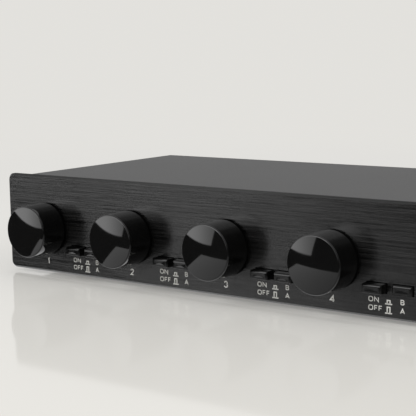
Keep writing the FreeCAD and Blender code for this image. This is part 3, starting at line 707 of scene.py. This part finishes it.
class Sums:
    """Builds sums of numbers out of math nodes in one tree."""

    def __init__(self, tree):
        self.tree = tree

    def make(self, operation, *values):
        """One math node, whose values are numbers or the results of other nodes."""
        node = self.tree.nodes.new("ShaderNodeMath")
        node.operation = operation
        for socket, value in zip(node.inputs, values):
            if isinstance(value, (int, float)):
                socket.default_value = value
            else:
                self.tree.links.new(value, socket)
        return node.outputs[0]

    def step(self, value, start, end):
        """Goes smoothly from 0 to 1 while the value goes from start to end."""
        return fade(self.tree, value, start, end, smooth=True)

    def product(self, *values):
        """All the values multiplied, one after another."""
        result = values[0]
        for value in values[1:]:
            result = self.make("MULTIPLY", result, value)
        return result

    def between(self, low, high, share):
        """The low value plus a share of the way to the high one."""
        return self.make("ADD", low, self.product(share, self.make("SUBTRACT", high, low)))


def studio():
    """A pale backdrop for the camera, and a studio for gloss to mirror.

    The studio is dim in front, with a tall light at the left, a weaker one straight ahead and a lit table
    below them, and it is pale behind and overhead. Side is given in degrees from -Y towards -X, and rise in
    degrees above the horizon. The tall light's lower edge lies at its lowest rise plus a share of the square
    of the way to its middle. Its right edge moves to the right as it rises, and further in its upper part.
    """
    world = bpy.data.worlds.new("studio")
    bpy.context.scene.world = world
    world.use_nodes = True
    tree = world.node_tree
    tree.nodes.clear()
    sums = Sums(tree)
    coordinates = tree.nodes.new("ShaderNodeTexCoord")
    parts = tree.nodes.new("ShaderNodeSeparateXYZ")
    tree.links.new(coordinates.outputs["Generated"], parts.inputs[0])
    x, y, z = parts.outputs
    degrees = 180 / math.pi
    least, overhead_gain, pale_behind = 0.06, 0.34, 0.76
    left, front = sums.product(x, -1), sums.product(y, -1)
    side = sums.product(sums.make("ARCTAN2", left, front), degrees)
    rise = sums.product(sums.make("ARCSINE", z), degrees)
    overhead = sums.step(rise, 12, 50)
    behind = sums.step(y, -0.15, 0.25)
    surround = sums.make("ADD", least, sums.product(overhead, overhead_gain))
    surround = sums.between(surround, pale_behind, behind)

    # The tall light
    soft, middle, lowest, right_edge = 0.35, 31, -6.3, 31.2
    curving, lean, lean_foot, upper_shift = 0.0122, 0.31, 7, 16
    lower_level, upper_level, gain = 1.3, 3.3, 1.6
    curve = sums.product(sums.make("POWER", sums.make("SUBTRACT", side, middle), 2), curving)
    above = sums.make("SUBTRACT", rise, curve)
    upper_part = sums.step(rise, 4, 10)
    leaning = sums.make("ADD", side, sums.product(sums.make("ADD", rise, lean_foot), lean))
    leaning = sums.make("ADD", leaning, sums.product(upper_part, upper_shift))
    tall = sums.product(
        sums.step(above, lowest - soft, lowest + soft),
        sums.step(leaning, right_edge - soft, right_edge + soft),
        sums.step(side, 82, 62),
        sums.step(rise, 50, 34),
    )
    lower_strength = sums.make("ADD", lower_level, sums.product(sums.step(side, 27, 45), gain))
    upper_strength = sums.make("SUBTRACT", upper_level, sums.product(sums.step(side, 33, 48), gain))
    tall = sums.product(tall, sums.between(lower_strength, upper_strength, upper_part))

    # The weaker light straight ahead, and the table
    ahead_level, table_level = 1.1, 0.4
    ahead = sums.product(
        sums.step(side, 14, 6),
        sums.step(side, -20, -12),
        sums.step(rise, -3, 2),
        sums.step(rise, 50, 30),
        sums.make("SUBTRACT", 1, behind),
        ahead_level,
    )
    table = sums.product(sums.step(rise, -26, -42), table_level)
    light = sums.make("ADD", surround, tall)
    light = sums.make("ADD", light, ahead)
    light = sums.make("ADD", light, table)
    path = tree.nodes.new("ShaderNodeLightPath")
    gloss = tree.nodes.new("ShaderNodeBackground")
    tree.links.new(light, gloss.inputs["Strength"])
    gloss.inputs["Color"].default_value = (1, 1, 1, 1)
    plain = tree.nodes.new("ShaderNodeBackground")
    plain.inputs["Color"].default_value = (*pale(BACKDROP), 1)
    mix = tree.nodes.new("ShaderNodeMixShader")
    tree.links.new(path.outputs["Is Glossy Ray"], mix.inputs["Fac"])
    tree.links.new(plain.outputs[0], mix.inputs[1])
    tree.links.new(gloss.outputs[0], mix.inputs[2])
    output = tree.nodes.new("ShaderNodeOutputWorld")
    tree.links.new(mix.outputs["Shader"], output.inputs["Surface"])


def low_card():
    """A lit card in front, below the floor, that only gloss mirrors, as the lower patch on each knob."""
    near, far, right, level, lean = -0.27, -1.02, 0.9, -0.203, 0.36
    left_near = -0.453
    left_far = left_near + lean * (far - near)
    corners = [(left_near, near, level), (right, near, level), (right, far, level), (left_far, far, level)]
    mesh = bpy.data.meshes.new("low_card")
    mesh.from_pydata(corners, [], [(0, 1, 2, 3)])
    material, tree = new_finish("low_card")[:2]
    across = tree.nodes.new("ShaderNodeSeparateXYZ")
    tree.links.new(place_on(tree), across.inputs[0])
    glow = tree.nodes.new("ShaderNodeEmission")
    strength = fade(tree, across.outputs["X"], start=-0.6, end=0.0, low=1.1, high=0.4)
    tree.links.new(strength, glow.inputs["Strength"])
    show_instead(tree, glow.outputs["Emission"])
    material.cycles.emission_sampling = "NONE"
    mesh.materials.append(material)
    card = bpy.data.objects.new("low_card", mesh)
    card.visible_camera = False
    card.visible_diffuse = False
    card.visible_shadow = False
    bpy.context.scene.collection.objects.link(card)


def lamp(name, place, target, size, power):
    """A square soft light that points at a target and isn't mirrored itself."""
    light = bpy.data.lights.new(name, "AREA")
    light.size = size
    light.energy = power
    lamp_object = bpy.data.objects.new(name, light)
    lamp_object.location = place
    lamp_object.rotation_euler = (Vector(target) - Vector(place)).to_track_quat("-Z", "Y").to_euler()
    lamp_object.visible_glossy = False
    bpy.context.scene.collection.objects.link(lamp_object)


def camera():
    """The photograph's camera, turned about its own line of sight by the roll."""
    lens = bpy.data.cameras.new("camera")
    lens.lens = FOCAL_LENGTH
    lens.sensor_width = SENSOR
    lens.clip_start = 0.01
    azimuth, pitch, roll = (math.radians(angle) for angle in (CAMERA_AZIMUTH, CAMERA_PITCH, CAMERA_ROLL))
    ahead = Vector((-math.sin(azimuth) * math.cos(pitch), math.cos(azimuth) * math.cos(pitch), 0))
    ahead.z = -math.sin(pitch)
    level_right = Vector((math.cos(azimuth), math.sin(azimuth), 0))
    level_up = level_right.cross(ahead)
    right = level_right * math.cos(roll) + level_up * math.sin(roll)
    up = level_up * math.cos(roll) - level_right * math.sin(roll)
    turn = Matrix((right, up, -ahead)).transposed().to_4x4()
    eye = bpy.data.objects.new("camera", lens)
    eye.matrix_world = Matrix.Translation(Vector(CAMERA_PLACE) * MM) @ turn
    bpy.context.scene.collection.objects.link(eye)
    bpy.context.scene.camera = eye


floor()
studio()
low_card()
lamp("key", place=(-0.9, -0.9, 1.1), target=(0, 0, 0.03), size=0.9, power=8)
lamp("fill", place=(1.1, -0.5, 0.8), target=(0, 0, 0.03), size=0.8, power=6)
camera()
bpy.context.scene.view_settings.view_transform = "Standard"
